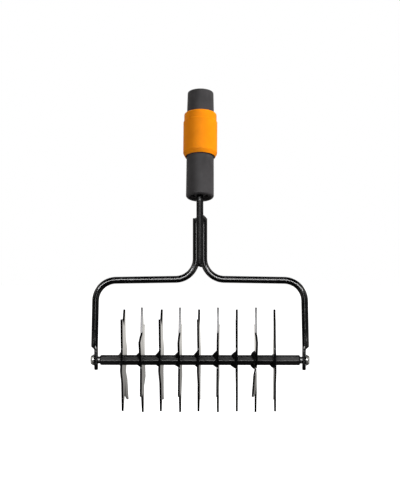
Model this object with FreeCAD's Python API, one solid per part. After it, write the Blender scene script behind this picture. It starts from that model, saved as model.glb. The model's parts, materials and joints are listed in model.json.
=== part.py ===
import FreeCAD, Part
import math
import os

# Core aerator head: a row of star wheels with pointed tines on a hexagonal axle bar, carried by a yoke of
# bent round rod, with a quick-release socket for a pole.
#
# Frame: +X along the axle, +Y to the back, +Z up, in millimetres and degrees. The origin is on the socket's
# axis, where the straight wall of its bore starts. The yoke stands upright and the socket leans back.

Vector = FreeCAD.Vector

# Overall
OVERALL_WIDTH = 205.0        # over the heads of the axle screws
OVERALL_HEIGHT = 305.0       # from the lowest tine tip to the top of the socket's rim

# Roller
STAR_COUNT = 9
STAR_PITCH = 17.7
STAR_SHIFT = -0.9            # the set of stars sits off the bar's middle
STAR_THICKNESS = 2.0
TINE_COUNT = 6
TIP_R = 50.0
VALLEY_R = 32.5
TIP_HALF_ANGLE = 0.7         # half the blunt end of a tine, seen from the axle
VALLEY_ROUND = 1.5
ROLLER_PHASE = 9.3           # top tine of the even wheels, from straight up towards the front
BAR_FLATS = 9.0
BAR_LENGTH = 187.4
BAR_CHAMFER = 0.8
WELD_LEG = 4.2

# Axle hardware
SCREW_R = 2.5
SCREW_DEPTH = 13.0
SCREW_HEAD_R = 4.75
SCREW_FACE_R = 3.2
SCREW_SOCKET_FLATS = 3.0
SCREW_SOCKET_DEPTH = 1.4
WASHER_R = 5.2
WASHER_THICKNESS = 0.8
BUSH_R = 3.3
RUNNING_CLEARANCE = 0.05

# Yoke
ROD_R = 3.25
ROD_SPACING = 7.1            # between the centres of the two rods in the bundle
ROD_GAP = 0.03               # between the neck rod and the yoke rods
BUNDLE_TOP = 132.9           # heights above the axle
ARM_HEIGHT = 75.9
NECK_BOTTOM = 90.0
ARM_DROOP = 0.9
LEG_FLARE = 1.2
BEND_R = 19.5
LEG_FOOT_X = 98.95
LEG_FOOT = 8.0
EYE_INNER_X = 95.6
EYE_THICKNESS = 3.5
EYE_WIDTH = 11.0
EYE_TOP = 19.0
EYE_SHOULDER = 8.0
EYE_BOTTOM = -9.5
EYE_STEP = 9.9               # height where the forged step meets the eye's outer face

# Neck
LEAN = 18.0                  # socket's axis from upright
BEND_HEIGHT = 150.5
NECK_BEND_R = 12.0

# Socket: depths are measured down its axis from the origin
SOCKET_LENGTH = 105.3
LEAD_IN = 1.0
BORE_R = 9.0
BORE_DEPTH = 50.0
GROOVE_DEPTH = 29.0          # dirt groove across the bore, just above the balls
GROOVE_WIDTH = 1.0
GROOVE_R = 9.5
TUBE_R = 11.0
BODY_TOP_R = 12.8
BODY_BOTTOM_R = 13.05
BODY_SHOULDER = 62.0
BODY_ROUND = 2.2
CAVITY_R = 10.4
CAVITY_TOP = 54.0
COLLAR_RIM_R = 12.2
COLLAR_FOOT_R = 12.85
COLLAR_DEPTH = 24.0
RIM_ROUND = 1.0

ANCHOR_TOP = 55.0
ANCHOR_RECESS = 2.4
ROD_END = 60.0
PIN_DEPTH = 80.0
PIN_R = 1.5
PIN_HALF_LENGTH = 9.8
SLOT_INNER_R = 5.2
SLOT_OUTER_R = 8.3
SLOT_HALF_ANGLE = 52.0
SLOT_DEPTH = 12.0

# Release sleeve and lock
SLEEVE_TOP = 20.8
SLEEVE_BAND = 7.7
SLEEVE_BAND_R = 15.3
SLEEVE_R = 16.0
SLEEVE_BOTTOM = 63.8
SLEEVE_CHAMFER = 1.9
SLEEVE_CHAMFER_RISE = 3.6
SLEEVE_LIP = 2.5
SLEEVE_LIP_R = 13.05
SKIRT_INNER_R = 13.8
FLANGE_TOP = 38.8
FLANGE_BOTTOM = 46.0
FLANGE_R = 11.2
SLEEVE_TRAVEL = 7.0
BALL_COUNT = 3
BALL_R = 2.0
BALL_DEPTH = 33.0
BALL_PROUD = 1.0             # how far a locked ball stands into the bore
BALL_TRAVEL = 1.1
BALL_CLEARANCE = 0.05
RING_R = 11.9
RING_THICKNESS = 1.2
RING_GROOVE_R = 10.4
RING_OPENING = 5.0
SPRING_R = 12.1
SPRING_WIRE_R = 0.65
SPRING_TURNS = 5
SPRING_SEAT_GAP = 0.05

# Derived places
LEAN_SIN = math.sin(math.radians(LEAN))
LEAN_COS = math.cos(math.radians(LEAN))
SOCKET_AXIS = Vector(0, LEAN_SIN, LEAN_COS)
NECK_SETBACK = math.sqrt((2 * ROD_R + ROD_GAP) ** 2 - (ROD_SPACING / 2) ** 2)
RIM_RISE = (LEAD_IN - RIM_ROUND) * LEAN_COS + (COLLAR_RIM_R - RIM_ROUND) * LEAN_SIN + RIM_ROUND
TIP_DROP = TIP_R * math.cos(math.radians(ROLLER_PHASE - TIP_HALF_ANGLE))
NECK_REACH = (OVERALL_HEIGHT - TIP_DROP - BEND_HEIGHT - RIM_RISE) / LEAN_COS
NECK_BEND = SOCKET_AXIS * -NECK_REACH
AXLE = NECK_BEND + Vector(0, NECK_SETBACK, -BEND_HEIGHT)
EYE_OUTER_X = EYE_INNER_X + EYE_THICKNESS
BUSH_END_X = EYE_OUTER_X + 0.2
HEAD_SEAT_X = BUSH_END_X + WASHER_THICKNESS
HEAD_HEIGHT = OVERALL_WIDTH / 2 - HEAD_SEAT_X
BODY_BOTTOM = SOCKET_LENGTH - LEAD_IN


# --- helpers ---

def corner_arc(before, corner, after, radius):
    """Start, middle and end of the arc that rounds a corner and is tangent to both of its sides."""
    back = (before - corner).normalize()
    onward = (after - corner).normalize()
    half = back.getAngle(onward) / 2
    setback = radius / math.tan(half)
    inward = (back + onward).normalize()
    middle = corner + inward * (radius / math.sin(half) - radius)
    return corner + back * setback, middle, corner + onward * setback


def rounded_wire(corners, closed=False):
    """Wire of straight runs through corners given as (point, radius), with arcs where the radius isn't 0."""
    count = len(corners)
    spans = []
    for i, (point, radius) in enumerate(corners):
        if radius:
            spans.append(corner_arc(corners[i - 1][0], point, corners[(i + 1) % count][0], radius))
        else:
            spans.append((point, None, point))
    edges = []
    for i, (start, middle, end) in enumerate(spans):
        if middle:
            edges.append(Part.Arc(start, middle, end).toShape())
        if i + 1 < count or closed:
            following = spans[(i + 1) % count][0]
            if end.distanceToPoint(following) > 1e-6:
                edges.append(Part.LineSegment(end, following).toShape())
    return Part.Wire(edges)


def rod(corners, radius):
    """Round rod along a path of runs and arcs."""
    path = rounded_wire(corners)
    start = corners[0][0]
    section = Part.Wire(Part.makeCircle(radius, start, corners[1][0] - start))
    return path.makePipeShell([section], True, False)


def turned(corners):
    """Solid of revolution about Z, from corners given as (radius, height, rounding)."""
    outline = rounded_wire([(Vector(r, 0, z), rounding) for r, z, rounding in corners], closed=True)
    return Part.Face(outline).revolve(Vector(0, 0, 0), Vector(0, 0, 1), 360)


def plate(corners, x, thickness):
    """Flat plate across the X axis, from corners given as (y, z, rounding)."""
    outline = rounded_wire([(Vector(x, y, z), rounding) for y, z, rounding in corners], closed=True)
    return Part.Face(outline).extrude(Vector(thickness, 0, 0))


def around_axle(angle, radius):
    """(y, z) at a radius from the axle: 0 degrees is up and 90 degrees is to the front."""
    turn = math.radians(angle)
    return -radius * math.sin(turn), radius * math.cos(turn)


def hexagon(flats, phase):
    """Corners of a hexagon about the axle, with one flat facing the phase angle."""
    corner_r = flats / 2 / math.cos(math.radians(30))
    return [(*around_axle(phase + 30 + 60 * i, corner_r), 0) for i in range(6)]


def placed(shape, base=Vector(0, 0, 0), axis=Vector(1, 0, 0), angle=0.0):
    """Copy of a piece, turned about an axis through the origin and then moved."""
    moved = shape.copy()
    moved.Placement = FreeCAD.Placement(base, FreeCAD.Rotation(axis, angle)).multiply(shape.Placement)
    return moved


def pointing(shape, side):
    """Turn a piece made about +Z to point along the axle, outwards to its side, and bring it to the axle."""
    return placed(shape, AXLE, Vector(0, 1, 0), 90 * side)


def in_socket(shape):
    """Tilt a piece made about +Z onto the socket's axis."""
    return placed(shape, angle=-LEAN)


def on_axle(shape):
    return placed(shape, AXLE)


# --- yoke ---

def arm_drop(x):
    """Height of an arm's centre line above the axle, at a distance x from the middle."""
    return ARM_HEIGHT - (x - ROD_SPACING / 2) * math.tan(math.radians(ARM_DROOP))


def leg_x(z):
    """Distance of a leg's centre line from the middle, at a height z above the axle."""
    return LEG_FOOT_X - (z - LEG_FOOT) * math.tan(math.radians(LEG_FLARE))


def yoke_rod(side):
    """One bent rod: down the bundle, out along the arm, down the leg, and forged flat into the axle's eye."""
    inner_x = ROD_SPACING / 2
    corner_z = arm_drop(leg_x(ARM_HEIGHT))
    runs = [
        (inner_x, BUNDLE_TOP, 0),
        (inner_x, ARM_HEIGHT, BEND_R),
        (leg_x(corner_z), corner_z, BEND_R),
        (LEG_FOOT_X, LEG_FOOT, 0),
    ]
    bar = rod([(Vector(x * side, 0, z), bend) for x, z, bend in runs], ROD_R)

    beyond = EYE_OUTER_X + 2 * ROD_R
    forged_away = [(EYE_OUTER_X, EYE_BOTTOM), (EYE_OUTER_X, EYE_STEP),
                   (beyond, EYE_STEP + beyond - EYE_OUTER_X), (beyond, EYE_BOTTOM)]
    outline = [(Vector(x * side, -EYE_WIDTH, z), 0) for x, z in forged_away]
    wedge = Part.Face(rounded_wire(outline, closed=True)).extrude(Vector(0, 2 * EYE_WIDTH, 0))

    half = EYE_WIDTH / 2
    strip = [(-ROD_R, EYE_TOP, 0), (-half, EYE_SHOULDER, 6.0), (-half, EYE_BOTTOM, half - 0.1),
             (half, EYE_BOTTOM, half - 0.1), (half, EYE_SHOULDER, 6.0), (ROD_R, EYE_TOP, 0)]
    eye = plate(strip, EYE_INNER_X * side, EYE_THICKNESS * side)
    hole = Part.makeCylinder(BUSH_R + RUNNING_CLEARANCE, 4 * EYE_THICKNESS,
                             Vector(side * (EYE_INNER_X - EYE_THICKNESS), 0, 0), Vector(side, 0, 0))
    return on_axle(bar.cut(wedge).fuse(eye).cut(hole).removeSplitter())


def neck_rod():
    """Straight rod in the front groove of the bundle, bent back along the socket's axis."""
    bottom = AXLE + Vector(0, -NECK_SETBACK, NECK_BOTTOM)
    top = SOCKET_AXIS * -ROD_END
    return rod([(bottom, 0), (NECK_BEND, NECK_BEND_R), (top, 0)], ROD_R).cut(in_socket(pin_solid()))


def yoke_weld_beads(rods):
    """Beads at the top of the bundle, in the fork, and along the groove at the back."""
    lumps = [
        Part.makeSphere(3.5, Vector(3.3, -2.7, BUNDLE_TOP + 0.6)),
        Part.makeSphere(2.9, Vector(-3.1, -2.9, BUNDLE_TOP - 0.6)),
        Part.makeSphere(3.7, Vector(0, -3.6, NECK_BOTTOM - 0.4)),
        Part.makeCylinder(1.7, 26.0, Vector(0, 2.2, BUNDLE_TOP - 30.0)),
    ]
    beads = []
    for lump in lumps:
        pieces = on_axle(lump).cut(rods).Solids
        beads.append(max(pieces, key=lambda piece: piece.Volume))
    return Part.makeCompound(beads)


# --- roller ---

def star_x(index):
    return (index - (STAR_COUNT + 1) / 2) * STAR_PITCH + STAR_SHIFT


def star_wheel(index):
    """Flat star with a hexagonal hole. Every second one is turned by half a tine."""
    step = 360 / TINE_COUNT
    phase = ROLLER_PHASE if index % 2 == 0 else ROLLER_PHASE + step / 2
    outline = []
    for tine in range(TINE_COUNT):
        angle = phase + tine * step
        outline.append((*around_axle(angle - TIP_HALF_ANGLE, TIP_R), 0))
        outline.append((*around_axle(angle + TIP_HALF_ANGLE, TIP_R), 0))
        outline.append((*around_axle(angle + step / 2, VALLEY_R), VALLEY_ROUND))
    x = star_x(index) - STAR_THICKNESS / 2
    star = plate(outline, x, STAR_THICKNESS)
    return on_axle(star.cut(plate(hexagon(BAR_FLATS, ROLLER_PHASE), x, STAR_THICKNESS)))


def star_weld(index):
    """Fillet bead around the bar, against the left face of a star."""
    face_x = star_x(index) - STAR_THICKNESS / 2
    corner_r = BAR_FLATS / 2 / math.cos(math.radians(30))
    bead = turned([
        (0, 0, 0), (BAR_FLATS / 2 + WELD_LEG, 0, 0), (corner_r + 0.2, -WELD_LEG, 0), (0, -WELD_LEG, 0)])
    bead = placed(bead, Vector(face_x, 0, 0), Vector(0, 1, 0), 90)
    bar = plate(hexagon(BAR_FLATS, ROLLER_PHASE), face_x - 2 * WELD_LEG, 3 * WELD_LEG)
    return on_axle(bead.cut(bar))


def axle_bar():
    """Hexagonal bar with chamfered ends, drilled for the axle screws."""
    half = BAR_LENGTH / 2
    bar = plate(hexagon(BAR_FLATS, ROLLER_PHASE), -half, BAR_LENGTH)
    corner_r = BAR_FLATS / 2 / math.cos(math.radians(30))
    envelope = turned([
        (0, -half, 0), (corner_r - BAR_CHAMFER, -half, 0), (corner_r + 0.1, BAR_CHAMFER - half, 0),
        (corner_r + 0.1, half - BAR_CHAMFER, 0), (corner_r - BAR_CHAMFER, half, 0), (0, half, 0)])
    bar = bar.common(placed(envelope, axis=Vector(0, 1, 0), angle=90))
    for side in (-1, 1):
        end = Vector(side * half, 0, 0)
        bar = bar.cut(Part.makeCylinder(SCREW_R, SCREW_DEPTH + 1, end, Vector(-side, 0, 0)))
    return on_axle(bar)


def axle_screw(side):
    """Button-head screw with a hexagon socket."""
    head_r = SCREW_HEAD_R
    end = OVERALL_WIDTH / 2
    screw = turned([
        (0, BAR_LENGTH / 2 - SCREW_DEPTH, 0), (SCREW_R - 0.4, BAR_LENGTH / 2 - SCREW_DEPTH, 0),
        (SCREW_R, BAR_LENGTH / 2 - SCREW_DEPTH + 0.6, 0), (SCREW_R, HEAD_SEAT_X, 0),
        (head_r, HEAD_SEAT_X, 0), (head_r, HEAD_SEAT_X + 0.5, 0.3),
        (SCREW_FACE_R + 0.4, end, 0.8), (0, end, 0)])
    corners = [Vector(math.cos(math.radians(60 * i)), math.sin(math.radians(60 * i)), 0) for i in range(6)]
    corner_r = SCREW_SOCKET_FLATS / 2 / math.cos(math.radians(30))
    floor = Vector(0, 0, end - SCREW_SOCKET_DEPTH)
    outline = [(floor + corner * corner_r, 0) for corner in corners]
    recess = Part.Face(rounded_wire(outline, closed=True)).extrude(Vector(0, 0, 2 * SCREW_SOCKET_DEPTH))
    return pointing(screw.cut(recess), side)


def ring(inner_r, outer_r, start, end):
    """Plain ring about Z between two heights."""
    return turned([(inner_r, start, 0), (outer_r, start, 0), (outer_r, end, 0), (inner_r, end, 0)])


# --- socket ---

def pin_solid():
    start = Vector(-PIN_HALF_LENGTH, 0, -PIN_DEPTH)
    return Part.makeCylinder(PIN_R, 2 * PIN_HALF_LENGTH, start, Vector(1, 0, 0))


def ball_angle(index):
    return 360 / BALL_COUNT * (index - 1)


def ball_seat(index):
    """Pocket that lets a ball out of the bore but not into it."""
    locked_r = BORE_R + BALL_R - BALL_PROUD
    pocket_r = BALL_R + RUNNING_CLEARANCE
    centre = Vector(locked_r, 0, -BALL_DEPTH)
    channel = Part.makeCylinder(pocket_r, 2 * TUBE_R, centre, Vector(1, 0, 0))
    pocket = Part.makeSphere(pocket_r, centre).fuse(channel)
    return placed(pocket, axis=Vector(0, 0, 1), angle=ball_angle(index))


def socket_body():
    """Moulded body: guide tube with a blind bore above, wider hollow foot below."""
    body = turned([
        (BORE_R + LEAD_IN, LEAD_IN, 0), (BORE_R, 0, 0),
        (BORE_R, -GROOVE_DEPTH, 0), (GROOVE_R, -GROOVE_DEPTH, 0),
        (GROOVE_R, -GROOVE_DEPTH - GROOVE_WIDTH, 0), (BORE_R, -GROOVE_DEPTH - GROOVE_WIDTH, 0),
        (BORE_R, -BORE_DEPTH, 0.8), (0, -BORE_DEPTH, 0),
        (0, -CAVITY_TOP, 0), (CAVITY_R, -CAVITY_TOP, 0), (CAVITY_R, -BODY_BOTTOM, 0.3),
        (BODY_BOTTOM_R, -BODY_BOTTOM, BODY_ROUND), (BODY_TOP_R, -BODY_SHOULDER, 0.4),
        (TUBE_R, -BODY_SHOULDER, 0), (TUBE_R, LEAD_IN, 0)])
    body = body.cut(ring(RING_GROOVE_R, RING_R, -FLANGE_TOP, RING_THICKNESS - FLANGE_TOP))
    for index in range(1, BALL_COUNT + 1):
        body = body.cut(ball_seat(index))
    return in_socket(body)


def mouth_collar():
    """Tapered ring around the top of the guide tube."""
    return in_socket(turned([
        (TUBE_R, LEAD_IN, 0), (COLLAR_RIM_R, LEAD_IN, RIM_ROUND),
        (COLLAR_FOOT_R, -COLLAR_DEPTH, 0.4), (TUBE_R, -COLLAR_DEPTH, 0)]))


def rod_anchor():
    """Core that fills the body's foot and holds the neck rod, with a curved slot on each side of the rod."""
    bottom = ANCHOR_RECESS - BODY_BOTTOM
    core = turned([
        (0, -ROD_END, 0), (0, -ANCHOR_TOP, 0), (CAVITY_R, -ANCHOR_TOP, 0),
        (CAVITY_R, bottom, 0.4), (ROD_R, bottom, 0), (ROD_R, -ROD_END, 0)])
    for middle_angle in (0, 180):
        slot = ring(SLOT_INNER_R, SLOT_OUTER_R, bottom, bottom + SLOT_DEPTH)
        sector = Part.makeCylinder(2 * CAVITY_R, 2 * SLOT_DEPTH, Vector(0, 0, bottom - 1), Vector(0, 0, 1),
                                   2 * SLOT_HALF_ANGLE)
        sector.rotate(Vector(0, 0, 0), Vector(0, 0, 1), middle_angle - SLOT_HALF_ANGLE)
        core = core.cut(slot.common(sector))
    return in_socket(core.cut(pin_solid()))


def retaining_ring():
    """Open spring ring in the guide tube's groove, which stops the sleeve."""
    whole = ring(RING_GROOVE_R, RING_R, -FLANGE_TOP, RING_THICKNESS - FLANGE_TOP)
    opening = Part.makeBox(2 * RING_R, RING_OPENING, 2 * RING_THICKNESS,
                           Vector(0, -RING_OPENING / 2, -FLANGE_TOP - RING_THICKNESS / 2))
    opening.rotate(Vector(0, 0, 0), Vector(0, 0, 1), 90)
    return in_socket(whole.cut(opening))


def release_sleeve():
    """Sliding sleeve: lip, cone that holds the balls in, flange on the spring, and skirt over the spring."""
    slope = BALL_TRAVEL / SLEEVE_TRAVEL
    locked_r = BORE_R + BALL_R - BALL_PROUD
    cone_at_ball = locked_r + (BALL_R + BALL_CLEARANCE) * math.sqrt(1 + slope ** 2)
    cone_top = SLEEVE_TOP + SLEEVE_LIP
    cone_foot = BALL_DEPTH + 0.45
    return in_socket(turned([
        (SLEEVE_LIP_R, -SLEEVE_TOP, 0.3), (SLEEVE_BAND_R, -SLEEVE_TOP, 1.2),
        (SLEEVE_BAND_R, -SLEEVE_TOP - SLEEVE_BAND, 0), (SLEEVE_R, -SLEEVE_TOP - SLEEVE_BAND - 0.7, 0.3),
        (SLEEVE_R, SLEEVE_CHAMFER_RISE - SLEEVE_BOTTOM, 1.5), (SLEEVE_R - SLEEVE_CHAMFER, -SLEEVE_BOTTOM, 0),
        (SKIRT_INNER_R, -SLEEVE_BOTTOM, 0), (SKIRT_INNER_R, -FLANGE_BOTTOM, 0), (FLANGE_R, -FLANGE_BOTTOM, 0),
        (FLANGE_R, -FLANGE_TOP, 0), (cone_at_ball - 0.45 * slope, -FLANGE_TOP, 0),
        (cone_at_ball - 0.45 * slope, -cone_foot, 0),
        (cone_at_ball + (BALL_DEPTH - cone_top) * slope, -cone_top, 0), (SLEEVE_LIP_R, -cone_top, 0)]))


def sleeve_spring():
    """Round-wire compression spring between the body's shoulder and the sleeve's flange."""
    seat = SPRING_WIRE_R + SPRING_SEAT_GAP
    height = BODY_SHOULDER - FLANGE_BOTTOM - 2 * seat
    helix = Part.makeHelix(height / SPRING_TURNS, height, SPRING_R)
    start = helix.Edges[0].firstVertex().Point
    tangent = helix.Edges[0].tangentAt(helix.Edges[0].FirstParameter)
    section = Part.Wire(Part.makeCircle(SPRING_WIRE_R, start, tangent))
    coil = Part.Wire(helix.Edges).makePipeShell([section], True, True)
    return in_socket(placed(coil, Vector(0, 0, seat - BODY_SHOULDER)))


def lock_ball(index):
    locked_r = BORE_R + BALL_R - BALL_PROUD
    ball = Part.makeSphere(BALL_R, Vector(locked_r, 0, -BALL_DEPTH))
    return in_socket(placed(ball, axis=Vector(0, 0, 1), angle=ball_angle(index)))


# --- all the pieces ---

def make_pieces():
    rods = {"left_yoke_rod": yoke_rod(-1), "right_yoke_rod": yoke_rod(1), "neck_rod": neck_rod()}
    pieces = dict(rods)
    pieces["yoke_weld_beads"] = yoke_weld_beads(Part.makeCompound(list(rods.values())))

    pieces["axle_bar"] = axle_bar()
    for index in range(1, STAR_COUNT + 1):
        pieces[f"star_wheel_{index}"] = star_wheel(index)
        pieces[f"star_weld_{index}"] = star_weld(index)
    for name, side in (("left", -1), ("right", 1)):
        pieces[f"{name}_axle_screw"] = axle_screw(side)
        pieces[f"{name}_washer"] = pointing(ring(SCREW_R, WASHER_R, BUSH_END_X, HEAD_SEAT_X), side)
        pieces[f"{name}_pivot_bush"] = pointing(ring(SCREW_R, BUSH_R, BAR_LENGTH / 2, BUSH_END_X), side)

    pieces["socket_body"] = socket_body()
    pieces["mouth_collar"] = mouth_collar()
    pieces["rod_anchor"] = rod_anchor()
    pieces["rod_pin"] = in_socket(pin_solid())
    pieces["retaining_ring"] = retaining_ring()
    pieces["release_sleeve"] = release_sleeve()
    pieces["sleeve_spring"] = sleeve_spring()
    for index in range(1, BALL_COUNT + 1):
        pieces[f"lock_ball_{index}"] = lock_ball(index)
    return pieces


os.makedirs("parts", exist_ok=True)
for name, shape in make_pieces().items():
    shape.exportStep(f"parts/{name}.step")
    print(name, len(shape.Solids), "solid", "valid" if shape.isValid() else "INVALID", round(shape.Volume, 1))
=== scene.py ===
import json
import math
import random

import bmesh
import bpy
from mathutils import Matrix, Vector, noise


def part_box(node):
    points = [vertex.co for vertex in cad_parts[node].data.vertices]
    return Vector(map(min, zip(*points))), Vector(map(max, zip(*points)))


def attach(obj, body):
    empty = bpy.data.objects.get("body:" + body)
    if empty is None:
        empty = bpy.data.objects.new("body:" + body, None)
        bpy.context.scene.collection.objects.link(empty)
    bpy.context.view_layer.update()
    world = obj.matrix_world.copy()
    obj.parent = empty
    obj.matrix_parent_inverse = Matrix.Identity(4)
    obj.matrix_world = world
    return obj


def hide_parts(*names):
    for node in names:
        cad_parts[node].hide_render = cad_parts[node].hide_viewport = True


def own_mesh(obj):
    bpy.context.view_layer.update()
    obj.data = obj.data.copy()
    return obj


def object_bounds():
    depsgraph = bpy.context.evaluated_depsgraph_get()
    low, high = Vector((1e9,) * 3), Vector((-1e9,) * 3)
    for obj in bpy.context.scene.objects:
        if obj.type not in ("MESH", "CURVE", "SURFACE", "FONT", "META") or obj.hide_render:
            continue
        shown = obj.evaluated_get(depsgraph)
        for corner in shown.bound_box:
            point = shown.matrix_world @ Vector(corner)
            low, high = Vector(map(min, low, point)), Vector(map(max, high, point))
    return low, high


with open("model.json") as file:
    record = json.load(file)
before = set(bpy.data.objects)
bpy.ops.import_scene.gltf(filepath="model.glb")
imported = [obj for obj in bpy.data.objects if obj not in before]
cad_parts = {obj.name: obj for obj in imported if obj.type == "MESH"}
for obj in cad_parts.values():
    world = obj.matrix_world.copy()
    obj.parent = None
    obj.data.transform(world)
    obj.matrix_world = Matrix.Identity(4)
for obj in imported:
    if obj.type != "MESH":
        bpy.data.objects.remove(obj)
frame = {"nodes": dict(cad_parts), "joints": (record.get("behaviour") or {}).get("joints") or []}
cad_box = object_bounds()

# Core aerator head. The frame is in metres. Its origin is at the socket's mouth, -Y is the front, and the
# socket's axis leans back from +Z. Each piece is made in millimetres, about the axle or along the socket's
# axis, and then moved into the frame.

MM = 0.001
LEAN = math.radians(18.0)
SOCKET = Matrix.Rotation(-LEAN, 4, "X")
SOCKET_AXIS = SOCKET.to_3x3() @ Vector((0, 0, 1))
AXLE = Vector(next(j for j in frame["joints"] if j["name"] == "roller_spin")["pos_m"])
AT_AXLE = Matrix.Translation(AXLE)

# Yoke, in millimetres, with heights above the axle
ROD_R = 3.25
ROD_SPACING = 7.1
BUNDLE_TOP = 132.9
ARM_HEIGHT = 75.9
ARM_DROOP = math.radians(0.9)
LEG_FLARE = math.radians(1.2)
BEND_R = 19.5
LEG_FOOT_X = 98.95             # centre line of a leg at the height of the eye's shoulder
EYE_THICKNESS = 3.5
EYE_HALF_WIDTH = 5.5
EYE_TOP = 30.0
EYE_SHOULDER = 8.0
EYE_BOTTOM = -9.5
EYE_BORE_R = 3.35
EYE_INNER_GAP = 0.1            # between the eye's inner face and the leg's inner side
EYE_FLAT_TOP = 9.6             # the eye's faces are flat up to here
LEG_ROUND_FROM = 13.0          # and the leg is as thick as the rod from here
EYE_EDGE = 1.3                 # height over which the eye's foot thins to its rounded edge
EYE_FOOT_SHARE = 0.35          # share of its thickness that is left at the very foot
NECK_SETBACK = 5.481
NECK_BOTTOM = 90.0
NECK_BEND_HEIGHT = 150.5
NECK_BEND_R = 12.0
ROD_END_DEPTH = 60.0           # of the neck rod in the socket, along its axis
ROD_EDGE = 0.7                 # rounding of the rods' free ends
ROD_SMOOTH = 50                # degrees up to which the rods are shaded smooth

# Roller, in millimetres, with distances across from the middle of the bar
BAR_FLATS = 9.0
BAR_HALF = 93.7
BAR_EDGE = 1.7                 # rounding of the bar's six edges
PHASE = 9.3                    # degrees that the roller is turned from straight up towards the front
TIP_R = 50.0
VALLEY_R = 32.5
VALLEY_ROUND = 1.5
TIP_HALF_ANGLE = 0.7           # degrees, for the blunt end of a tine
STAR_HALF = 1.0                # half of a star's thickness
STAR_EDGE = 0.09               # width of the eased edges of a star
HOLE_EDGE = 0.1                # rounding of the corners of its hexagonal hole
HOLE_GAP = 0.02                # between the hole and the bar's flats
STAR_PITCH = 17.7
STAR_SHIFT = -0.9              # the set of stars sits off the bar's middle
STAR_COUNT = 9
TINES = 6
BUSH_R = 3.3
BUSH_BORE_R = 2.5
BUSH_END = 99.3
WASHER_R = 5.2
WASHER_BORE_R = 2.55
WASHER_END = 100.1
SHANK_R = 2.48
SHANK_DEPTH = 81.0             # the screws' points are this far from the middle
HEAD_R = 4.75
HEAD_RIM = 0.65                # height of a screw head's upright rim
HEAD_END = 102.5
KEY_R = 1.5                    # from the middle of a screw head's hexagon to its flats

# Socket, in millimetres, with heights along its axis from the mouth
SPRING_SEAT = -62.0
SPRING_TOP = -46.0
SPRING_R = 12.1
WIRE_R = 0.65
COIL_INSET = 0.7               # from the spring's two seats to the middle of its wire

FLOOR_GAP = 0.12               # metres from the lowest tine to the floor


# --- mesh tools ---

def add_piece(name, mesh, material, body, node, smooth_angle):
    """Object for a finished mesh that rides on a body in a node's place, shaded smooth up to an angle."""
    piece = bpy.data.objects.new(name, mesh)
    bpy.context.scene.collection.objects.link(piece)
    mesh.materials.append(material)
    for polygon in mesh.polygons:
        polygon.use_smooth = True
    mesh.set_sharp_from_angle(angle=math.radians(smooth_angle))
    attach(piece, body)
    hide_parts(node)
    return piece


def to_mesh(name, verts, faces, matrix):
    """Mesh from points in millimetres, moved into the row frame."""
    mesh = bpy.data.meshes.new(name)
    mesh.from_pydata([matrix @ (Vector(v) * MM) for v in verts], [], faces)
    made = bmesh.new()
    made.from_mesh(mesh)
    bmesh.ops.remove_doubles(made, verts=made.verts, dist=1e-7)
    bmesh.ops.dissolve_degenerate(made, edges=made.edges, dist=1e-7)
    bmesh.ops.recalc_face_normals(made, faces=made.faces)
    made.to_mesh(mesh)
    made.free()
    mesh.update()
    return mesh


def rounded(corners, steps):
    """Points of an outline whose corners, given as (a, b, rounding), are rounded by arcs."""
    count = len(corners)
    points = []
    for i, (a, b, radius) in enumerate(corners):
        corner = Vector((a, b))
        if not radius:
            points.append(corner)
            continue
        before = Vector(corners[i - 1][:2]) - corner
        after = Vector(corners[(i + 1) % count][:2]) - corner
        before.normalize()
        after.normalize()
        half = before.angle(after) / 2
        centre = corner + (before + after).normalized() * (radius / math.sin(half))
        start = corner + before * (radius / math.tan(half)) - centre
        end = corner + after * (radius / math.tan(half)) - centre
        sweep = start.angle_signed(end)
        for step in range(steps + 1):
            turn = Matrix.Rotation(-sweep * step / steps, 2)
            points.append(centre + turn @ start)
    return points


def loop_faces(loops, count):
    """Faces between outlines of equal length that stand all the way round an axis."""
    faces = []
    for i in range(loops):
        here, there = i * count, (i + 1) % loops * count
        for k in range(count):
            after = (k + 1) % count
            faces.append((here + k, there + k, there + after, here + after))
    return faces


def lathe(name, corners, matrix, segments=96, steps=6, shape=None):
    """Solid of revolution about Z from a closed outline of (radius, height, rounding).

    A shape, if there is one, gives the true radius for a radius and a direction.
    """
    outline = rounded(corners, steps)
    verts = []
    for i in range(segments):
        turn = 2 * math.pi * i / segments
        for r, z in outline:
            if shape:
                r = shape(r, turn)
            verts.append((r * math.cos(turn), r * math.sin(turn), z))
    return to_mesh(name, verts, loop_faces(segments, len(outline)), matrix)


def tube(name, stations, matrix):
    """Closed skin through rings of equal length."""
    ring = len(stations[0])
    verts = [p for station in stations for p in station]
    faces = []
    for s in range(len(stations) - 1):
        here, there = s * ring, (s + 1) * ring
        for k in range(ring):
            after = (k + 1) % ring
            faces.append((here + k, here + after, there + after, there + k))
    faces.append(tuple(reversed(range(ring))))
    faces.append(tuple(range(len(verts) - ring, len(verts))))
    return to_mesh(name, verts, faces, matrix)


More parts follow.
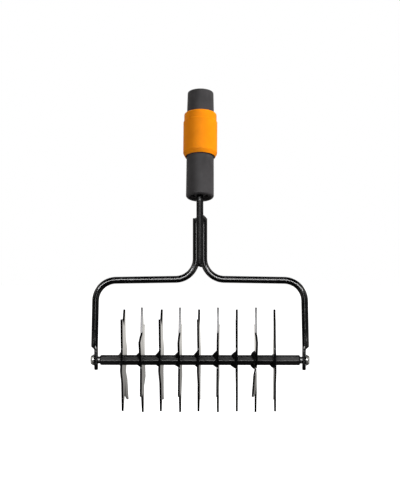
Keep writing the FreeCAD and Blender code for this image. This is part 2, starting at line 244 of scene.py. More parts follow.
def path_stations(corners, bend_r, arc_steps=22, run_step=6.0):
    """Points and directions along a path of runs and tangent arcs, all in one plane."""
    path = []
    points = [Vector(c) for c in corners]
    last = points[0]
    for i in range(1, len(points)):
        heading = (points[i] - points[i - 1]).normalized()
        if i + 1 < len(points):
            onward = (points[i + 1] - points[i]).normalized()
            turn = heading.angle(onward)
            setback = bend_r * math.tan(turn / 2)
            end = points[i] - heading * setback
        else:
            end = points[i]
        run = (end - last).length
        pieces = max(1, int(run / run_step))
        for k in range(pieces):
            path.append((last.lerp(end, k / pieces), heading))
        if i + 1 < len(points):
            side = (onward - heading * heading.dot(onward)).normalized()
            centre = end + side * bend_r
            for k in range(arc_steps):
                angle = turn * k / arc_steps
                radial = heading * math.sin(angle) - side * math.cos(angle)
                tangent = heading * math.cos(angle) + side * math.sin(angle)
                path.append((centre + radial * bend_r, tangent))
            last = points[i] + onward * setback
        else:
            path.append((end, heading))
    return path


def ellipse_ring(centre, across, along, half_across, half_along, power=2.0, count=40):
    """Ring of points in a superellipse: power 2 is an ellipse, and more is squarer."""
    ring = []
    for k in range(count):
        turn = 2 * math.pi * k / count
        c, s = math.cos(turn), math.sin(turn)
        u = math.copysign(abs(c) ** (2 / power), c) * half_across
        v = math.copysign(abs(s) ** (2 / power), s) * half_along
        ring.append(centre + across * u + along * v)
    return ring


def smooth_step(low, high, value):
    """0 below a low value and 1 above a high one, with an S-shaped rise between them."""
    t = min(1.0, max(0.0, (value - low) / (high - low)))
    return t * t * (3 - 2 * t)


# --- materials ---

def shader(name, specular=0.5, metallic=0.0):
    """New material, and what is needed to add nodes to it."""
    material = bpy.data.materials.new(name)
    material.use_nodes = True
    nodes = material.node_tree.nodes
    links = material.node_tree.links
    bsdf = nodes["Principled BSDF"]
    bsdf.inputs["Specular IOR Level"].default_value = specular
    bsdf.inputs["Metallic"].default_value = metallic
    return material, nodes, links, bsdf


def add_noise(nodes, links, scale, detail=3.0, stretch=None):
    """Noise in the row frame; scale is features per metre."""
    place = nodes.new("ShaderNodeTexCoord")
    texture = nodes.new("ShaderNodeTexNoise")
    texture.inputs["Scale"].default_value = scale
    texture.inputs["Detail"].default_value = detail
    if stretch:
        mapping = nodes.new("ShaderNodeMapping")
        mapping.inputs["Scale"].default_value = stretch
        links.new(place.outputs["Object"], mapping.inputs["Vector"])
        links.new(mapping.outputs["Vector"], texture.inputs["Vector"])
    else:
        links.new(place.outputs["Object"], texture.inputs["Vector"])
    return texture.outputs["Fac"]


NOISE_RANGE = (0.3, 0.7)       # most of a noise's values lie between these


def spread(nodes, links, value, low, high):
    """Noise stretched between two values."""
    remap = nodes.new("ShaderNodeMapRange")
    remap.inputs["From Min"].default_value, remap.inputs["From Max"].default_value = NOISE_RANGE
    remap.inputs["To Min"].default_value = low
    remap.inputs["To Max"].default_value = high
    links.new(value, remap.inputs["Value"])
    return remap.outputs["Result"]


def two_tone(nodes, links, value, dark, light):
    """Mix of two colours: the first at 0, the second at 1."""
    ramp = nodes.new("ShaderNodeMix")
    ramp.data_type = "RGBA"
    ramp.inputs["A"].default_value = (*dark, 1)
    ramp.inputs["B"].default_value = (*light, 1)
    links.new(value, ramp.inputs["Factor"])
    return ramp.outputs["Result"]


def mottle(nodes, links, bsdf, cloud, dark, light):
    """Base colour that wanders between two tones with a noise."""
    tone = two_tone(nodes, links, spread(nodes, links, cloud, 0, 1), dark, light)
    links.new(tone, bsdf.inputs["Base Color"])


def vary_gloss(nodes, links, bsdf, value, low, high):
    """Roughness that wanders between two levels with a noise."""
    links.new(spread(nodes, links, value, low, high), bsdf.inputs["Roughness"])


def add_bump(nodes, links, bsdf, heights):
    """Chain of bumps, each given as (height, distance in metres, strength)."""
    normal = None
    for height, distance, strength in heights:
        bump = nodes.new("ShaderNodeBump")
        bump.inputs["Distance"].default_value = distance
        bump.inputs["Strength"].default_value = strength
        links.new(height, bump.inputs["Height"])
        if normal:
            links.new(normal, bump.inputs["Normal"])
        normal = bump.outputs["Normal"]
    links.new(normal, bsdf.inputs["Normal"])


def black_paint(name, low, high, specular=0.5):
    """Black coat: faint orange peel and a little unevenness in its gloss, from low to high roughness."""
    material, nodes, links, bsdf = shader(name, specular)
    peel = add_noise(nodes, links, 350, 2.0)
    cloud = add_noise(nodes, links, 120, 3.0)
    mottle(nodes, links, bsdf, cloud, (0.002, 0.002, 0.0025), (0.005, 0.005, 0.0055))
    vary_gloss(nodes, links, bsdf, cloud, low, high)
    add_bump(nodes, links, bsdf, [(peel, 0.000002, 0.1)])
    return material


def satin_paint():
    """Thinner, duller black coat, as on the roller's bar, with a fine leathery texture."""
    material, nodes, links, bsdf = shader("black_satin_coat", 0.29)
    grain = add_noise(nodes, links, 900, 3.0)
    cloud = add_noise(nodes, links, 160, 3.0)
    mottle(nodes, links, bsdf, cloud, (0.015, 0.0145, 0.015), (0.021, 0.0205, 0.021))
    vary_gloss(nodes, links, bsdf, grain, 0.28, 0.4)
    add_bump(nodes, links, bsdf, [(grain, 0.00002, 0.25)])
    return material


def weld_paint():
    """The same paint over a weld bead: lumpier, and duller in random patches."""
    material, nodes, links, bsdf = shader("painted_weld")
    lumps = add_noise(nodes, links, 1100, 3.0)
    cloud = add_noise(nodes, links, 400, 2.0)
    mottle(nodes, links, bsdf, cloud, (0.005, 0.005, 0.005), (0.012, 0.0115, 0.012))
    vary_gloss(nodes, links, bsdf, cloud, 0.26, 0.42)
    add_bump(nodes, links, bsdf, [(lumps, 0.00012, 0.5)])
    return material


def charcoal_plastic():
    """Glass-filled nylon: dark grey with a fine spark-eroded texture."""
    material, nodes, links, bsdf = shader("charcoal_nylon", 0.12)
    grain = add_noise(nodes, links, 2600, 2.0)
    cloud = add_noise(nodes, links, 90, 4.0)
    mottle(nodes, links, bsdf, cloud, (0.038, 0.036, 0.037), (0.054, 0.051, 0.053))
    vary_gloss(nodes, links, bsdf, grain, 0.42, 0.58)
    add_bump(nodes, links, bsdf, [(grain, 0.00005, 0.6)])
    return material


def orange_plastic():
    """Satin moulded plastic with slight mottling and a fine texture."""
    material, nodes, links, bsdf = shader("orange_polymer", 0.045)
    grain = add_noise(nodes, links, 2200, 2.0)
    cloud = add_noise(nodes, links, 110, 3.0)
    mottle(nodes, links, bsdf, cloud, (0.84, 0.24, 0.0035), (0.92, 0.276, 0.0045))
    vary_gloss(nodes, links, bsdf, cloud, 0.45, 0.58)
    bsdf.inputs["Subsurface Weight"].default_value = 0.05
    bsdf.inputs["Subsurface Radius"].default_value = (0.002, 0.001, 0.0004)
    add_bump(nodes, links, bsdf, [(grain, 0.00004, 0.45)])
    return material


def plated_steel(name, base, roughness):
    """Plated or drawn steel with fine lines around its axis, along X, and patchy brightness."""
    material, nodes, links, bsdf = shader(name, metallic=1.0)
    lines = add_noise(nodes, links, 500, 3.0, stretch=(8, 1, 1))
    cloud = add_noise(nodes, links, 300, 3.0)
    mottle(nodes, links, bsdf, cloud, tuple(c * 0.72 for c in base), base)
    vary_gloss(nodes, links, bsdf, lines, roughness * 0.8, roughness * 1.5)
    add_bump(nodes, links, bsdf, [(lines, 0.00002, 0.4)])
    return material


PAINT = black_paint("black_powder_coat", 0.09, 0.12)
GLOSS = black_paint("black_gloss_coat", 0.05, 0.09)
DULL = black_paint("black_dull_coat", 0.3, 0.38, 0.2)
SATIN = satin_paint()
WELD = weld_paint()
CHARCOAL = charcoal_plastic()
ORANGE = orange_plastic()
ZINC = plated_steel("zinc_plate", (0.42, 0.42, 0.41), 0.3)
DARK_STEEL = plated_steel("oiled_steel", (0.16, 0.16, 0.16), 0.35)
SPRING_STEEL = plated_steel("drawn_steel", (0.62, 0.61, 0.58), 0.18)


# --- yoke ---

def arm_height(x):
    """Height of an arm's centre line, which droops a little outwards."""
    return ARM_HEIGHT - (x - ROD_SPACING / 2) * math.tan(ARM_DROOP)


def leg_x(z):
    """Place across of a leg's centre line, which flares a little downwards."""
    return LEG_FOOT_X - (z - EYE_SHOULDER) * math.tan(LEG_FLARE)


def rod_stations(path, across, steps=6):
    """Rings of a rod along a path that starts at a free end, whose edge is rounded."""
    start, heading = path[0]
    stations = []
    for k in range(steps + 1):
        turn = math.pi / 2 * (1 - k / steps)
        centre = start + heading * (ROD_EDGE * (1 - math.sin(turn)))
        radius = ROD_R - ROD_EDGE * (1 - math.cos(turn))
        stations.append(ellipse_ring(centre, across.cross(heading), across, radius, radius))
    for centre, heading in path[1:]:
        stations.append(ellipse_ring(centre, across.cross(heading), across, ROD_R, ROD_R))
    return stations


def yoke_rod(side, eye_rows=80):
    """Bent rod whose foot is forged out into a flat eye, flush with the leg's inner side."""
    across, down = Vector((0, 1, 0)), Vector((0, 0, -1))
    corner_z = arm_height(leg_x(ARM_HEIGHT))
    foot_z = EYE_TOP + 0.5
    corners = [
        (ROD_SPACING / 2 * side, 0, BUNDLE_TOP), (ROD_SPACING / 2 * side, 0, ARM_HEIGHT),
        (leg_x(corner_z) * side, 0, corner_z), (leg_x(foot_z) * side, 0, foot_z)]
    stations = rod_stations(path_stations(corners, BEND_R), across)
    eye_inner = leg_x(EYE_SHOULDER) - ROD_R - EYE_INNER_GAP
    eye_centre = EYE_BOTTOM + EYE_HALF_WIDTH
    for k in range(eye_rows):
        z = EYE_BOTTOM + (EYE_TOP - EYE_BOTTOM) * (1 - math.sin(math.pi / 2 * k / eye_rows))
        rise = (z - EYE_SHOULDER) / (EYE_TOP - EYE_SHOULDER)
        wide = 1 - 0.5 * (min(1.0, max(0.0, rise)) + smooth_step(0, 1, rise))
        flat = 1 - smooth_step(EYE_FLAT_TOP, LEG_ROUND_FROM, z)
        half_width = ROD_R + (EYE_HALF_WIDTH - ROD_R) * wide
        if z < eye_centre:
            half_width = math.sqrt(EYE_HALF_WIDTH ** 2 - (z - eye_centre) ** 2)
        inner = eye_inner * flat + (leg_x(z) - ROD_R) * (1 - flat)
        outer = (eye_inner + EYE_THICKNESS) * flat + (leg_x(z) + ROD_R) * (1 - flat)
        edge = min(1.0, (z - EYE_BOTTOM) / EYE_EDGE)
        share = EYE_FOOT_SHARE + (1 - EYE_FOOT_SHARE) * math.sqrt(1 - (1 - edge) ** 2)
        half_thick = (outer - inner) / 2 * share
        power = 2 + 3 * smooth_step(0, 1, wide * 0.4 + flat * 0.6)    # from a round rod to a flat bar
        centre = Vector(((inner + outer) / 2 * side, 0, z))
        stations.append(ellipse_ring(centre, across.cross(down), across, half_thick, half_width, power))
    word = "left" if side < 0 else "right"
    mesh = tube(f"{word}_rod", stations, AT_AXLE)
    piece = add_piece(f"{word}_rod", mesh, PAINT, "yoke", f"{word}_yoke_rod", ROD_SMOOTH)
    drill(piece, AXLE + Vector((eye_inner * side, 0, 0)) * MM, EYE_BORE_R * MM)


def drill(piece, centre, radius):
    """Cut a round hole along X through a piece."""
    depth = 20 * MM
    bpy.ops.mesh.primitive_cylinder_add(vertices=64, radius=radius, depth=depth, location=centre,
                                        rotation=(0, math.pi / 2, 0))
    cutter = bpy.context.object
    cut = piece.modifiers.new("hole", "BOOLEAN")
    cut.operation = "DIFFERENCE"
    cut.solver = "EXACT"
    cut.object = cutter
    bpy.context.view_layer.update()
    evaluated = piece.evaluated_get(bpy.context.evaluated_depsgraph_get())
    mesh = bpy.data.meshes.new_from_object(evaluated)
    piece.modifiers.clear()
    piece.data = mesh
    mesh.set_sharp_from_angle(angle=math.radians(ROD_SMOOTH))
    bpy.data.objects.remove(cutter)


def neck_rod():
    """Round rod in the front groove of the bundle, bent back into the socket."""
    bottom = Vector((0, -NECK_SETBACK, NECK_BOTTOM))
    bend = Vector((0, -NECK_SETBACK, NECK_BEND_HEIGHT))
    top = (SOCKET_AXIS * (-ROD_END_DEPTH * MM) - AXLE) / MM
    path = path_stations([bottom, bend, top], NECK_BEND_R, arc_steps=14)
    mesh = tube("neck", rod_stations(path, Vector((1, 0, 0))), AT_AXLE)
    add_piece("neck", mesh, DULL, "yoke", "neck_rod", ROD_SMOOTH)


BEAD_RIPPLE = 0.03             # height of a bead's ripples, as a share of its radius,
BEAD_RIPPLE_RATE = 4.5         # and radians of them per millimetre
BEAD_LUMP = 0.06               # height of its lumps, as a share of its radius


def lay_bead(verts, faces, start, end, radius, seed, around=28):
    """Rippled weld bead laid from one point to another, with rounded ends."""
    start, end = Vector(start), Vector(end)
    along = end - start
    side = along.orthogonal().normalized()
    other = along.normalized().cross(side)
    rows = max(24, int(along.length * 3))
    cap = radius / (along.length + 2 * radius)
    first = len(verts)
    for row in range(rows + 1):
        t = 0.5 - 0.5 * math.cos(math.pi * row / rows)
        nearness = min(t, 1 - t) / cap
        taper = math.sqrt(1 - (1 - min(1.0, nearness)) ** 2) + 0.01
        centre = start + along.normalized() * ((along.length + 2 * radius) * t - radius)
        ripple = 1 + BEAD_RIPPLE * math.sin(t * along.length * BEAD_RIPPLE_RATE)
        for k in range(around):
            turn = 2 * math.pi * k / around
            lump = 1 + BEAD_LUMP * noise.noise(Vector((math.cos(turn), math.sin(turn), t * 3 + seed)))
            r = radius * taper * ripple * lump
            verts.append(centre + side * (r * math.cos(turn)) + other * (r * math.sin(turn)))
    for row in range(rows):
        for k in range(around):
            a = first + row * around + k
            b = first + row * around + (k + 1) % around
            faces.append((a, b, b + around, a + around))
    faces.append(tuple(first + k for k in reversed(range(around))))
    faces.append(tuple(first + rows * around + k for k in range(around)))


# From, to and radius of each bead: over the rods' ends, right and left, in the fork, down the back groove
YOKE_BEADS = [
    ((2.9, -3.4, BUNDLE_TOP + 0.9), (4.4, -1.6, BUNDLE_TOP - 0.7), 1.9),
    ((-2.7, -3.2, BUNDLE_TOP - 0.8), (-3.9, -1.8, BUNDLE_TOP - 1.3), 1.5),
    ((-1.2, -3.6, NECK_BOTTOM), (1.2, -3.6, NECK_BOTTOM - 0.6), 2.4),
    ((0, 2.1, BUNDLE_TOP - 29.5), (0, 2.1, BUNDLE_TOP - 5.5), 1.6)]


def yoke_welds():
    """Beads that join the three rods."""
    verts, faces = [], []
    for seed, (start, end, radius) in enumerate(YOKE_BEADS, 1):
        lay_bead(verts, faces, start, end, radius, seed)
    mesh = to_mesh("yoke_welds", verts, faces, AT_AXLE)
    add_piece("yoke_welds", mesh, WELD, "yoke", "yoke_weld_beads", 70)


# --- roller ---

def star_x(index):
    """Place across of a star, counted from the left, from 1."""
    return (index - (STAR_COUNT + 1) / 2) * STAR_PITCH + STAR_SHIFT


def axle_point(x, angle, radius):
    """Point about the axle: 0 is up and a quarter turn is to the front."""
    return Vector((x, -radius * math.sin(angle), radius * math.cos(angle)))


def bar_radius(angle, rounding=BAR_EDGE):
    """Distance from the axle to the bar's side at an angle, with its corners rounded."""
    half = math.pi / 6
    offset = abs((angle - math.radians(PHASE)) % (2 * half) - half)
    centre = (BAR_FLATS / 2 - rounding) / math.cos(half)
    if offset < math.atan2(rounding * math.sin(half), centre + rounding * math.cos(half)):
        return centre * math.cos(offset) + math.sqrt(rounding ** 2 - (centre * math.sin(offset)) ** 2)
    return BAR_FLATS / 2 / math.cos(half - offset)


# Where the bar's outline has its points, in degrees from each corner
BAR_STEPS = (-30, -20, -14, -11, -8.5, -6.5, -5, -3.5, -2, -1,
             0, 1, 2, 3.5, 5, 6.5, 8.5, 11, 14, 20)
# The bar's chamfered end: distance inwards, and share of the full section
BAR_END = [(0.0, 0.45), (0.0, 0.80), (0.15, 0.84), (0.9, 0.985), (1.3, 1.0)]


def axle_bar(lengths=24):
    """Hexagonal bar with softly rounded edges and chamfered ends."""
    sector = math.radians(60)
    turns = []
    for side in range(6):
        corner = math.radians(PHASE) + sector / 2 + side * sector
        turns += [corner + math.radians(d) for d in BAR_STEPS]
    ends = [(inwards - BAR_HALF, share) for inwards, share in BAR_END]
    full = ends[-1][0]
    middle = [(full - 2 * full * k / lengths, 1.0) for k in range(1, lengths)]
    rows = ends + middle + [(-x, share) for x, share in reversed(ends)]
    stations = [[axle_point(x, turn, bar_radius(turn) * share) for turn in turns] for x, share in rows]
    mesh = tube("hex_bar", stations, AT_AXLE)
    add_piece("hex_bar", mesh, SATIN, "roller", "axle_bar", 25)


def star_radius(offset):
    """Outline of a star at an angle from a tine's middle, up to half a tine's pitch."""
    offset = abs(offset)
    tip_angle, half = math.radians(TIP_HALF_ANGLE), math.pi / TINES
    if offset <= tip_angle:
        return TIP_R * math.cos(tip_angle) / math.cos(offset)
    tip = Vector((TIP_R * math.cos(tip_angle), TIP_R * math.sin(tip_angle)))
    inward = Vector((math.cos(half), math.sin(half)))
    valley = inward * VALLEY_R
    edge = (tip - valley).normalized()
    spread_angle = edge.angle(inward)
    touch = valley + edge * (VALLEY_ROUND / math.tan(spread_angle))
    if offset > math.atan2(touch.y, touch.x):
        centre = VALLEY_R + VALLEY_ROUND / math.sin(spread_angle)
        away = centre * math.sin(half - offset)
        return centre * math.cos(half - offset) - math.sqrt(VALLEY_ROUND ** 2 - away ** 2)
    normal = Vector((-edge.y, edge.x))
    return normal.dot(tip) / normal.dot(Vector((math.cos(offset), math.sin(offset))))


# Where a tine's outline has its points, in degrees either side of its middle
TINE_STEPS = [29.75, 29.5, 29.2, 28.9, 27, 24, 20, 16, 12, 8, 5, 2.5, 1.2, TIP_HALF_ANGLE]
# Where a star's faces have their points, as shares of the way out
FACE_STEPS = [0.0, 0.12, 0.25, 0.4, 0.55, 0.7, 0.82, 0.92, 1.0]
# The rim between the faces: place across, as a share of half the thickness, and depth of the easing
RIM_STEPS = [(-0.96, 0.03), (-0.88, 0.0), (0.88, 0.0), (0.96, 0.03)]
# How far the tips of the bent tines lie to the right, by star and tine
BENDS = {(1, 3): 2.3, (8, 2): -3.1, (8, 1): 0.9, (2, 1): -0.8}
BEND_FROM_R = 14               # a bent tine curls from here out,
BEND_CURVE = 1.3               # by this power of the distance,
BEND_FADE = (18, 30)           # and less towards its neighbours, in degrees from its middle
SLIGHT_BEND = 0.3              # the most that the other tines are bent
SLIGHT_TILT = 0.004            # the most that a star leans out of square, as a slope
BEND_SEED = 40                 # star 1 draws its slight bends with the next number, and so on


def star_wheel(index):
    """Stamped star with eased edges. A few tines are bent a little out of its plane."""
    rng = random.Random(BEND_SEED + index)
    step = 2 * math.pi / TINES
    phase = math.radians(PHASE) + (0 if index % 2 == 0 else step / 2)
    offsets = [-30] + [-d for d in TINE_STEPS] + [0] + TINE_STEPS[::-1]
    tilt = rng.uniform(-SLIGHT_TILT, SLIGHT_TILT)
    slew = rng.uniform(-SLIGHT_TILT, SLIGHT_TILT)
    bends = [BENDS.get((index, tine), rng.uniform(-SLIGHT_BEND, SLIGHT_BEND)) for tine in range(TINES)]
    columns = []
    for tine in range(TINES):
        for degrees in offsets:
            offset = math.radians(degrees)
            angle = phase + tine * step + offset
            outer = star_radius(offset)
            inner = bar_radius(angle, HOLE_EDGE) + HOLE_GAP
            face = [inner + (outer - STAR_EDGE - inner) * share for share in FACE_STEPS]
            column = [(-STAR_HALF, r) for r in face]
            column += [(x * STAR_HALF, outer - inset) for x, inset in RIM_STEPS]
            column += [(STAR_HALF, r) for r in reversed(face)]
            points = []
            for x, r in column:
                curl = (max(0.0, r - BEND_FROM_R) / (TIP_R - BEND_FROM_R)) ** BEND_CURVE
                fade = 1 - smooth_step(*BEND_FADE, abs(degrees))
                spot = axle_point(star_x(index) + x + bends[tine] * curl * fade, angle, r)
                spot.x += tilt * spot.z + slew * spot.y
                points.append(spot)
            columns.append(points)
    verts = [p for column in columns for p in column]
    name = f"star_{index}"
    mesh = to_mesh(name, verts, loop_faces(len(columns), len(columns[0])), AT_AXLE)
    add_piece(name, mesh, GLOSS, "roller", f"star_wheel_{index}", 28)


# The bead at each star: its rise up the star and its leg along the bar on top, the same underneath, and how
# far it bellies out
WELDS = [
    (5.0, 4.0, 3.2, 2.9, 0.1),
    (4.6, 5.0, 2.4, 3.8, 0.1),
    (5.0, 4.5, 2.4, 3.8, 0.1),
    (4.2, 4.2, 2.4, 3.9, 0.15),
    (4.8, 4.1, 2.6, 3.5, 0.2),
    (4.2, 4.4, 2.4, 3.7, 0.25),
    (3.6, 4.3, 3.6, 5.3, 0.4),
    (4.3, 3.7, 4.0, 4.1, 0.6),
    (1.0, 1.2, 2.9, 3.6, 0.4)]
WELD_SLIMMING = 0.72           # how much smaller a bead is at the front and back than on top
WELD_ROOT = 0.4                # how far a bead reaches into the bar
WELD_RIPPLES = 26              # around the bar
WELD_RIPPLE = 0.07             # how high they are
WELD_UNEVEN = 0.12             # share of a bead's rise and leg that varies,
WELD_WANDER = 1.4              # how fast they vary around the bar,
WELD_STRIDE = 3.1              # and how far apart in the noise two beads lie
WELD_BELLY = 0.7               # share of the belly that a bead has where it has no lumps,
WELD_LUMP = 0.6                # and share of that by which the lumps change it
WELD_HOLLOW = 1.15             # more than 1 hollows the fillet towards the bar
WELD_INTO_STAR = 0.25          # how far a bead reaches into the star
WELD_EDGE = 0.3                # how far its hidden corners are cut back


def star_weld(index, rows=132, profile=10):
    """Lumpy fillet bead around the bar against the left face of a star."""
    top_rise, top_leg, low_rise, low_leg, belly = WELDS[index - 1]
    face_x = star_x(index) - STAR_HALF
    verts = []
    for row in range(rows):
        turn = 2 * math.pi * row / rows
        ground = bar_radius(turn)
        wander = Vector((math.cos(turn) * WELD_WANDER, math.sin(turn) * WELD_WANDER, index * WELD_STRIDE))
        ripple = WELD_RIPPLE * math.sin(turn * WELD_RIPPLES + index)
        up = 0.5 + 0.5 * math.cos(turn)
        slim = 1 - WELD_SLIMMING * math.sin(turn) ** 4
        uneven_leg = 1 + WELD_UNEVEN * noise.noise(wander)
        uneven_rise = 1 + WELD_UNEVEN * noise.noise(wander + Vector((9, 0, 0)))
        leg = (low_leg + (top_leg - low_leg) * up) * slim * uneven_leg + ripple
        rise = (low_rise + (top_rise - low_rise) * up) * slim * uneven_rise + ripple
        for k in range(profile + 1):
            t = k / profile
            lump = 1 + WELD_LUMP * noise.noise(wander * 2 + Vector((0, t * 3, 0)))
            arch = math.sin(math.pi * t)
            bulge = WELD_BELLY * belly * slim * arch * lump
            r = ground + rise * t ** WELD_HOLLOW + bulge + ripple * arch
            verts.append(axle_point(face_x - leg * (1 - t) - bulge, turn, r))
        inside_x = face_x + WELD_INTO_STAR
        verts.append(axle_point(inside_x, turn, ground + rise - WELD_EDGE))
        verts.append(axle_point(inside_x, turn, ground - WELD_ROOT))
        verts.append(axle_point(face_x - leg + WELD_EDGE, turn, ground - WELD_ROOT))
    name = f"weld_{index}"
    mesh = to_mesh(name, verts, loop_faces(rows, len(verts) // rows), AT_AXLE)
    add_piece(name, mesh, WELD, "roller", f"star_weld_{index}", 60)


def axle_end(side):
    """Button-head screw with a hexagon socket, its washer, and the bush that the eye turns on."""
    word = "left" if side < 0 else "right"
    along = AT_AXLE @ Matrix.Rotation(math.radians(90 * side), 4, "Y")

    def socket_shape(r, turn):
        """The wall of the key's socket is a hexagon."""
        if abs(r - KEY_R) < 0.01:
            sector = math.radians(60)
            offset = (turn + sector / 2) % sector - sector / 2
            return KEY_R / math.cos(offset)
        return r

    screw = lathe(f"{word}_screw", [
        (0, SHANK_DEPTH, 0), (SHANK_R - 0.38, SHANK_DEPTH, 0), (SHANK_R, SHANK_DEPTH + 0.6, 0),
        (SHANK_R, WASHER_END, 0), (HEAD_R, WASHER_END, 0.12), (HEAD_R, WASHER_END + HEAD_RIM, 0.3),
        (3.6, HEAD_END, 0.9), (1.8, HEAD_END, 0.12), (KEY_R, HEAD_END - 0.25, 0),
        (KEY_R, HEAD_END - 1.4, 0), (0, HEAD_END - 1.7, 0)], along, shape=socket_shape)
    add_piece(f"{word}_screw", screw, ZINC, "roller", f"{word}_axle_screw", 35)
    washer = lathe(f"{word}_washer_disc", [
        (WASHER_BORE_R, BUSH_END, 0.1), (WASHER_R, BUSH_END, 0.15), (WASHER_R, WASHER_END, 0.3),
        (WASHER_BORE_R, WASHER_END, 0.1)], along)
    add_piece(f"{word}_washer_disc", washer, ZINC, "roller", f"{word}_washer", 35)
    bush = lathe(f"{word}_bush", [
        (BUSH_BORE_R, BAR_HALF, 0.1), (BUSH_R, BAR_HALF, 0.2), (BUSH_R, BUSH_END, 0.2),
        (BUSH_BORE_R, BUSH_END, 0.1)], along)
    add_piece(f"{word}_bush", bush, DARK_STEEL, "roller", f"{word}_pivot_bush", 35)


# --- socket ---

# Outlines of the collar and of the sleeve, as radius, height and rounding
COLLAR_OUTLINE = [(11.0, 1.0, 0.15), (12.2, 1.0, 0.95), (12.85, -24.0, 0.4), (11.0, -24.0, 0.1)]
SLEEVE_OUTLINE = [
    (13.05, -20.8, 0.3), (15.3, -20.8, 1.3), (15.3, -28.3, 0.25),     # waist
    (16.0, -29.3, 0.5), (16.0, -60.2, 1.8), (14.1, -63.8, 0.25),      # barrel
    (13.8, -63.8, 0.1), (13.8, -46.0, 0),                             # skirt around the spring
    (11.2, -46.0, 0), (11.2, -38.8, 0), (12.0, -38.8, 0),             # flange on top of the spring
    (12.0, -33.45, 0), (13.57, -23.3, 0), (13.05, -23.3, 0)]          # cone that lets the balls out


def collar():
    """Tapered rim around the socket's mouth."""
    mesh = lathe("collar", COLLAR_OUTLINE, SOCKET, segments=128, steps=8)
    add_piece("collar", mesh, CHARCOAL, "yoke", "mouth_collar", 40)


def sleeve():
    """Release sleeve that slides along the socket body."""
    mesh = lathe("sleeve", SLEEVE_OUTLINE, SOCKET, segments=128, steps=8)
    add_piece("sleeve_shell", mesh, ORANGE, "sleeve", "release_sleeve", 40)


def spring(turns=5, around=14, per_turn=40):
    """Coil spring at the length it has with the sleeve up. The real one shortens as the sleeve slides down;
    this mesh keeps one length.
    """
    low, high = SPRING_SEAT + COIL_INSET, SPRING_TOP - COIL_INSET
    stations = []
    total = turns * per_turn
    for i in range(total + 1):
        turn = 2 * math.pi * i / per_turn
        z = low + (high - low) * i / total
        outward = Vector((math.cos(turn), math.sin(turn), 0))
        centre = outward * SPRING_R + Vector((0, 0, z))
        stations.append(ellipse_ring(centre, outward, Vector((0, 0, 1)), WIRE_R, WIRE_R, count=around))
    mesh = tube("coil_spring", stations, SOCKET)
    piece = add_piece("coil_spring", mesh, SPRING_STEEL, "yoke", "sleeve_spring", 60)
    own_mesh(piece)


def finish_cad_nodes():
    """Materials for the pieces that stay as CAD made them."""
    looks = {"socket_body": CHARCOAL, "rod_anchor": CHARCOAL, "rod_pin": SPRING_STEEL,
             "retaining_ring": SPRING_STEEL, "lock_ball_1": SPRING_STEEL, "lock_ball_2": SPRING_STEEL,
             "lock_ball_3": SPRING_STEEL}
    for node, material in looks.items():
        mesh = frame["nodes"][node].data
        mesh.materials.clear()
        mesh.materials.append(material)


# --- stage ---

def stage_floor():
    """Pale floor, as bright as the surroundings from every side, that lights nothing."""
    bpy.ops.mesh.primitive_plane_add(size=30, location=(0, 0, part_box("star_wheel_2")[0].z - FLOOR_GAP))
    floor = bpy.context.object
    floor.name = "floor"
    material, _, _, bsdf = shader("pale_floor")
    bsdf.inputs["Base Color"].default_value = (0.92, 0.92, 0.92, 1)
    bsdf.inputs["Roughness"].default_value = 0.9
    bsdf.inputs["Emission Color"].default_value = (1, 1, 1, 1)
    bsdf.inputs["Emission Strength"].default_value = 1.0
    floor.data.materials.append(material)
    floor.visible_glossy = False
    floor.visible_diffuse = False


def soft_ramp(nodes, links, value, from_min, from_max, to_min, to_max):
    """Smooth step of a value from one level to another."""
    ramp = nodes.new("ShaderNodeMapRange")
    ramp.interpolation_type = "SMOOTHSTEP"
    ramp.inputs["From Min"].default_value = from_min
    ramp.inputs["From Max"].default_value = from_max
    ramp.inputs["To Min"].default_value = to_min
    ramp.inputs["To Max"].default_value = to_max
    links.new(value, ramp.inputs["Value"])
    return ramp.outputs["Result"]


def reckon(nodes, links, operation, first, second=0.0):
    """One arithmetic step on a value and either another value or a number."""
    step = nodes.new("ShaderNodeMath")
    step.operation = operation
    links.new(first, step.inputs[0])
    if isinstance(second, float):
        step.inputs[1].default_value = second
    else:
        links.new(second, step.inputs[1])
    return step.outputs["Value"]


# Brightness of the surroundings by direction. Each ramp has the range of the direction's part along one
# axis, and then the levels of brightness at its two ends.
BEHIND = (0.50, 0.80, 0.03, 0.75)          # the backdrop, towards the back
BELOW = (-0.052, -0.038, 0.45, 1.0)        # dimmer under the horizon
ABOVE = (0.14, 0.24, 1.0, 0.04)            # ends a little above it
SIDEWAYS = (0.45, 0.85, 0.0, 1.0)          # the side walls, towards left and right
UPRIGHT = (0.05, 0.30, 0.12, 0.9)          # dimmer at the horizon
SOFT_LEVEL = 0.36                          # on matt surfaces, at least this from all round
WARM_TINT = (1.0, 0.97, 0.92)


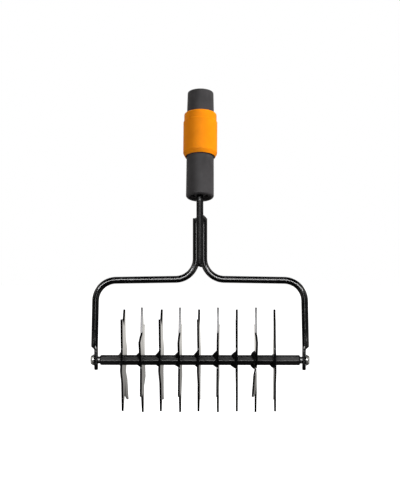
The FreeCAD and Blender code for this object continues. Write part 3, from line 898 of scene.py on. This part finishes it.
def studio_world():
    """White all round for the camera; for reflections, a bright backdrop, side walls and a dim front."""
    world = bpy.data.worlds.new("studio")
    world.use_nodes = True
    bpy.context.scene.world = world
    nodes, links = world.node_tree.nodes, world.node_tree.links
    place = nodes.new("ShaderNodeTexCoord")
    axes = nodes.new("ShaderNodeSeparateXYZ")
    links.new(place.outputs["Generated"], axes.inputs["Vector"])
    rays = nodes.new("ShaderNodeLightPath")
    is_glossy = rays.outputs["Is Glossy Ray"]

    behind = soft_ramp(nodes, links, axes.outputs["Y"], *BEHIND)
    below = soft_ramp(nodes, links, axes.outputs["Z"], *BELOW)
    above = soft_ramp(nodes, links, axes.outputs["Z"], *ABOVE)
    backdrop = reckon(nodes, links, "MULTIPLY", reckon(nodes, links, "MULTIPLY", behind, below), above)

    sideways = reckon(nodes, links, "ABSOLUTE", axes.outputs["X"])
    upright = reckon(nodes, links, "ABSOLUTE", axes.outputs["Z"])
    walls = reckon(nodes, links, "MULTIPLY", soft_ramp(nodes, links, sideways, *SIDEWAYS),
                   soft_ramp(nodes, links, upright, *UPRIGHT))
    walls = reckon(nodes, links, "MULTIPLY", walls, is_glossy)

    level = reckon(nodes, links, "MAXIMUM", backdrop, walls)
    soft = reckon(nodes, links, "MULTIPLY", rays.outputs["Is Diffuse Ray"], SOFT_LEVEL)
    level = reckon(nodes, links, "MAXIMUM", level, soft)
    level = reckon(nodes, links, "MAXIMUM", level, rays.outputs["Is Camera Ray"])
    links.new(level, nodes["Background"].inputs["Strength"])
    warm = two_tone(nodes, links, is_glossy, (1, 1, 1), WARM_TINT)
    links.new(warm, nodes["Background"].inputs["Color"])


MIDDLE = Vector((0, AXLE.y, -0.15))
# Each lamp's place, what it faces, width and height in metres, watts, and the surfaces it shows in
SOFTBOXES = {
    "key": ((1.5, -0.55, 0.9), MIDDLE, 0.6, 0.6, 37, "matt"),
    "front": ((0, -1.65, 0.5), MIDDLE, 0.8, 0.5, 6.2, "matt"),
    "overhead strip": ((0, -1.7, 0.37), MIDDLE, 2.4, 0.15, 54, "glossy"),
    "high strip": ((0, -0.93, AXLE.z + 1.12), AXLE, 0.6, 0.045, 1.3, "glossy"),
    "level panel": ((0, -1.9, -0.14), MIDDLE, 0.22, 0.15, 1.55, "glossy"),
    "low panel": ((0, -1.9, -0.275), MIDDLE, 0.22, 0.12, 0.45, "glossy"),
    "rear strip": ((0, 1.5, 1.1), MIDDLE, 2.0, 0.25, 6.3, "glossy"),
    "rear fill": ((-0.9, 1.5, 0.7), MIDDLE, 0.8, 0.6, 13, "matt")}


def softbox(name, location, target, width, height, watts, surfaces):
    """Rectangular lamp that shows either in the matt surfaces or in the reflections."""
    light = bpy.data.lights.new(name, "AREA")
    light.shape = "RECTANGLE"
    light.size = width
    light.size_y = height
    light.energy = watts
    lamp = bpy.data.objects.new(name, light)
    lamp.location = location
    lamp.visible_glossy = surfaces == "glossy"
    lamp.visible_diffuse = surfaces == "matt"
    lamp.rotation_mode = "QUATERNION"
    lamp.rotation_quaternion = (Vector(target) - Vector(location)).to_track_quat("-Z", "Y")
    bpy.context.scene.collection.objects.link(lamp)


CAMERA_PLACE = Vector((0.045, -2.15, 0))   # metres from the middle of the head
LENS = 165.3                               # millimetres


def camera():
    """Level view from the front, a little to the right of the middle."""
    lo, hi = cad_box
    centre = Vector((0, AXLE.y, (lo.z + hi.z) / 2))
    data = bpy.data.cameras.new("camera")
    data.lens = LENS
    data.clip_end = 50
    eye = bpy.data.objects.new("camera", data)
    eye.location = centre + CAMERA_PLACE
    eye.rotation_mode = "QUATERNION"
    eye.rotation_quaternion = (centre - eye.location).to_track_quat("-Z", "Y")
    bpy.context.scene.collection.objects.link(eye)
    bpy.context.scene.camera = eye


yoke_rod(-1)
yoke_rod(1)
neck_rod()
yoke_welds()
axle_bar()
for index in range(1, STAR_COUNT + 1):
    star_wheel(index)
    star_weld(index)
axle_end(-1)
axle_end(1)
collar()
sleeve()
spring()
finish_cad_nodes()

stage_floor()
studio_world()
for name, setting in SOFTBOXES.items():
    softbox(name, *setting)
camera()

scene = bpy.context.scene
scene.view_settings.view_transform = "Standard"
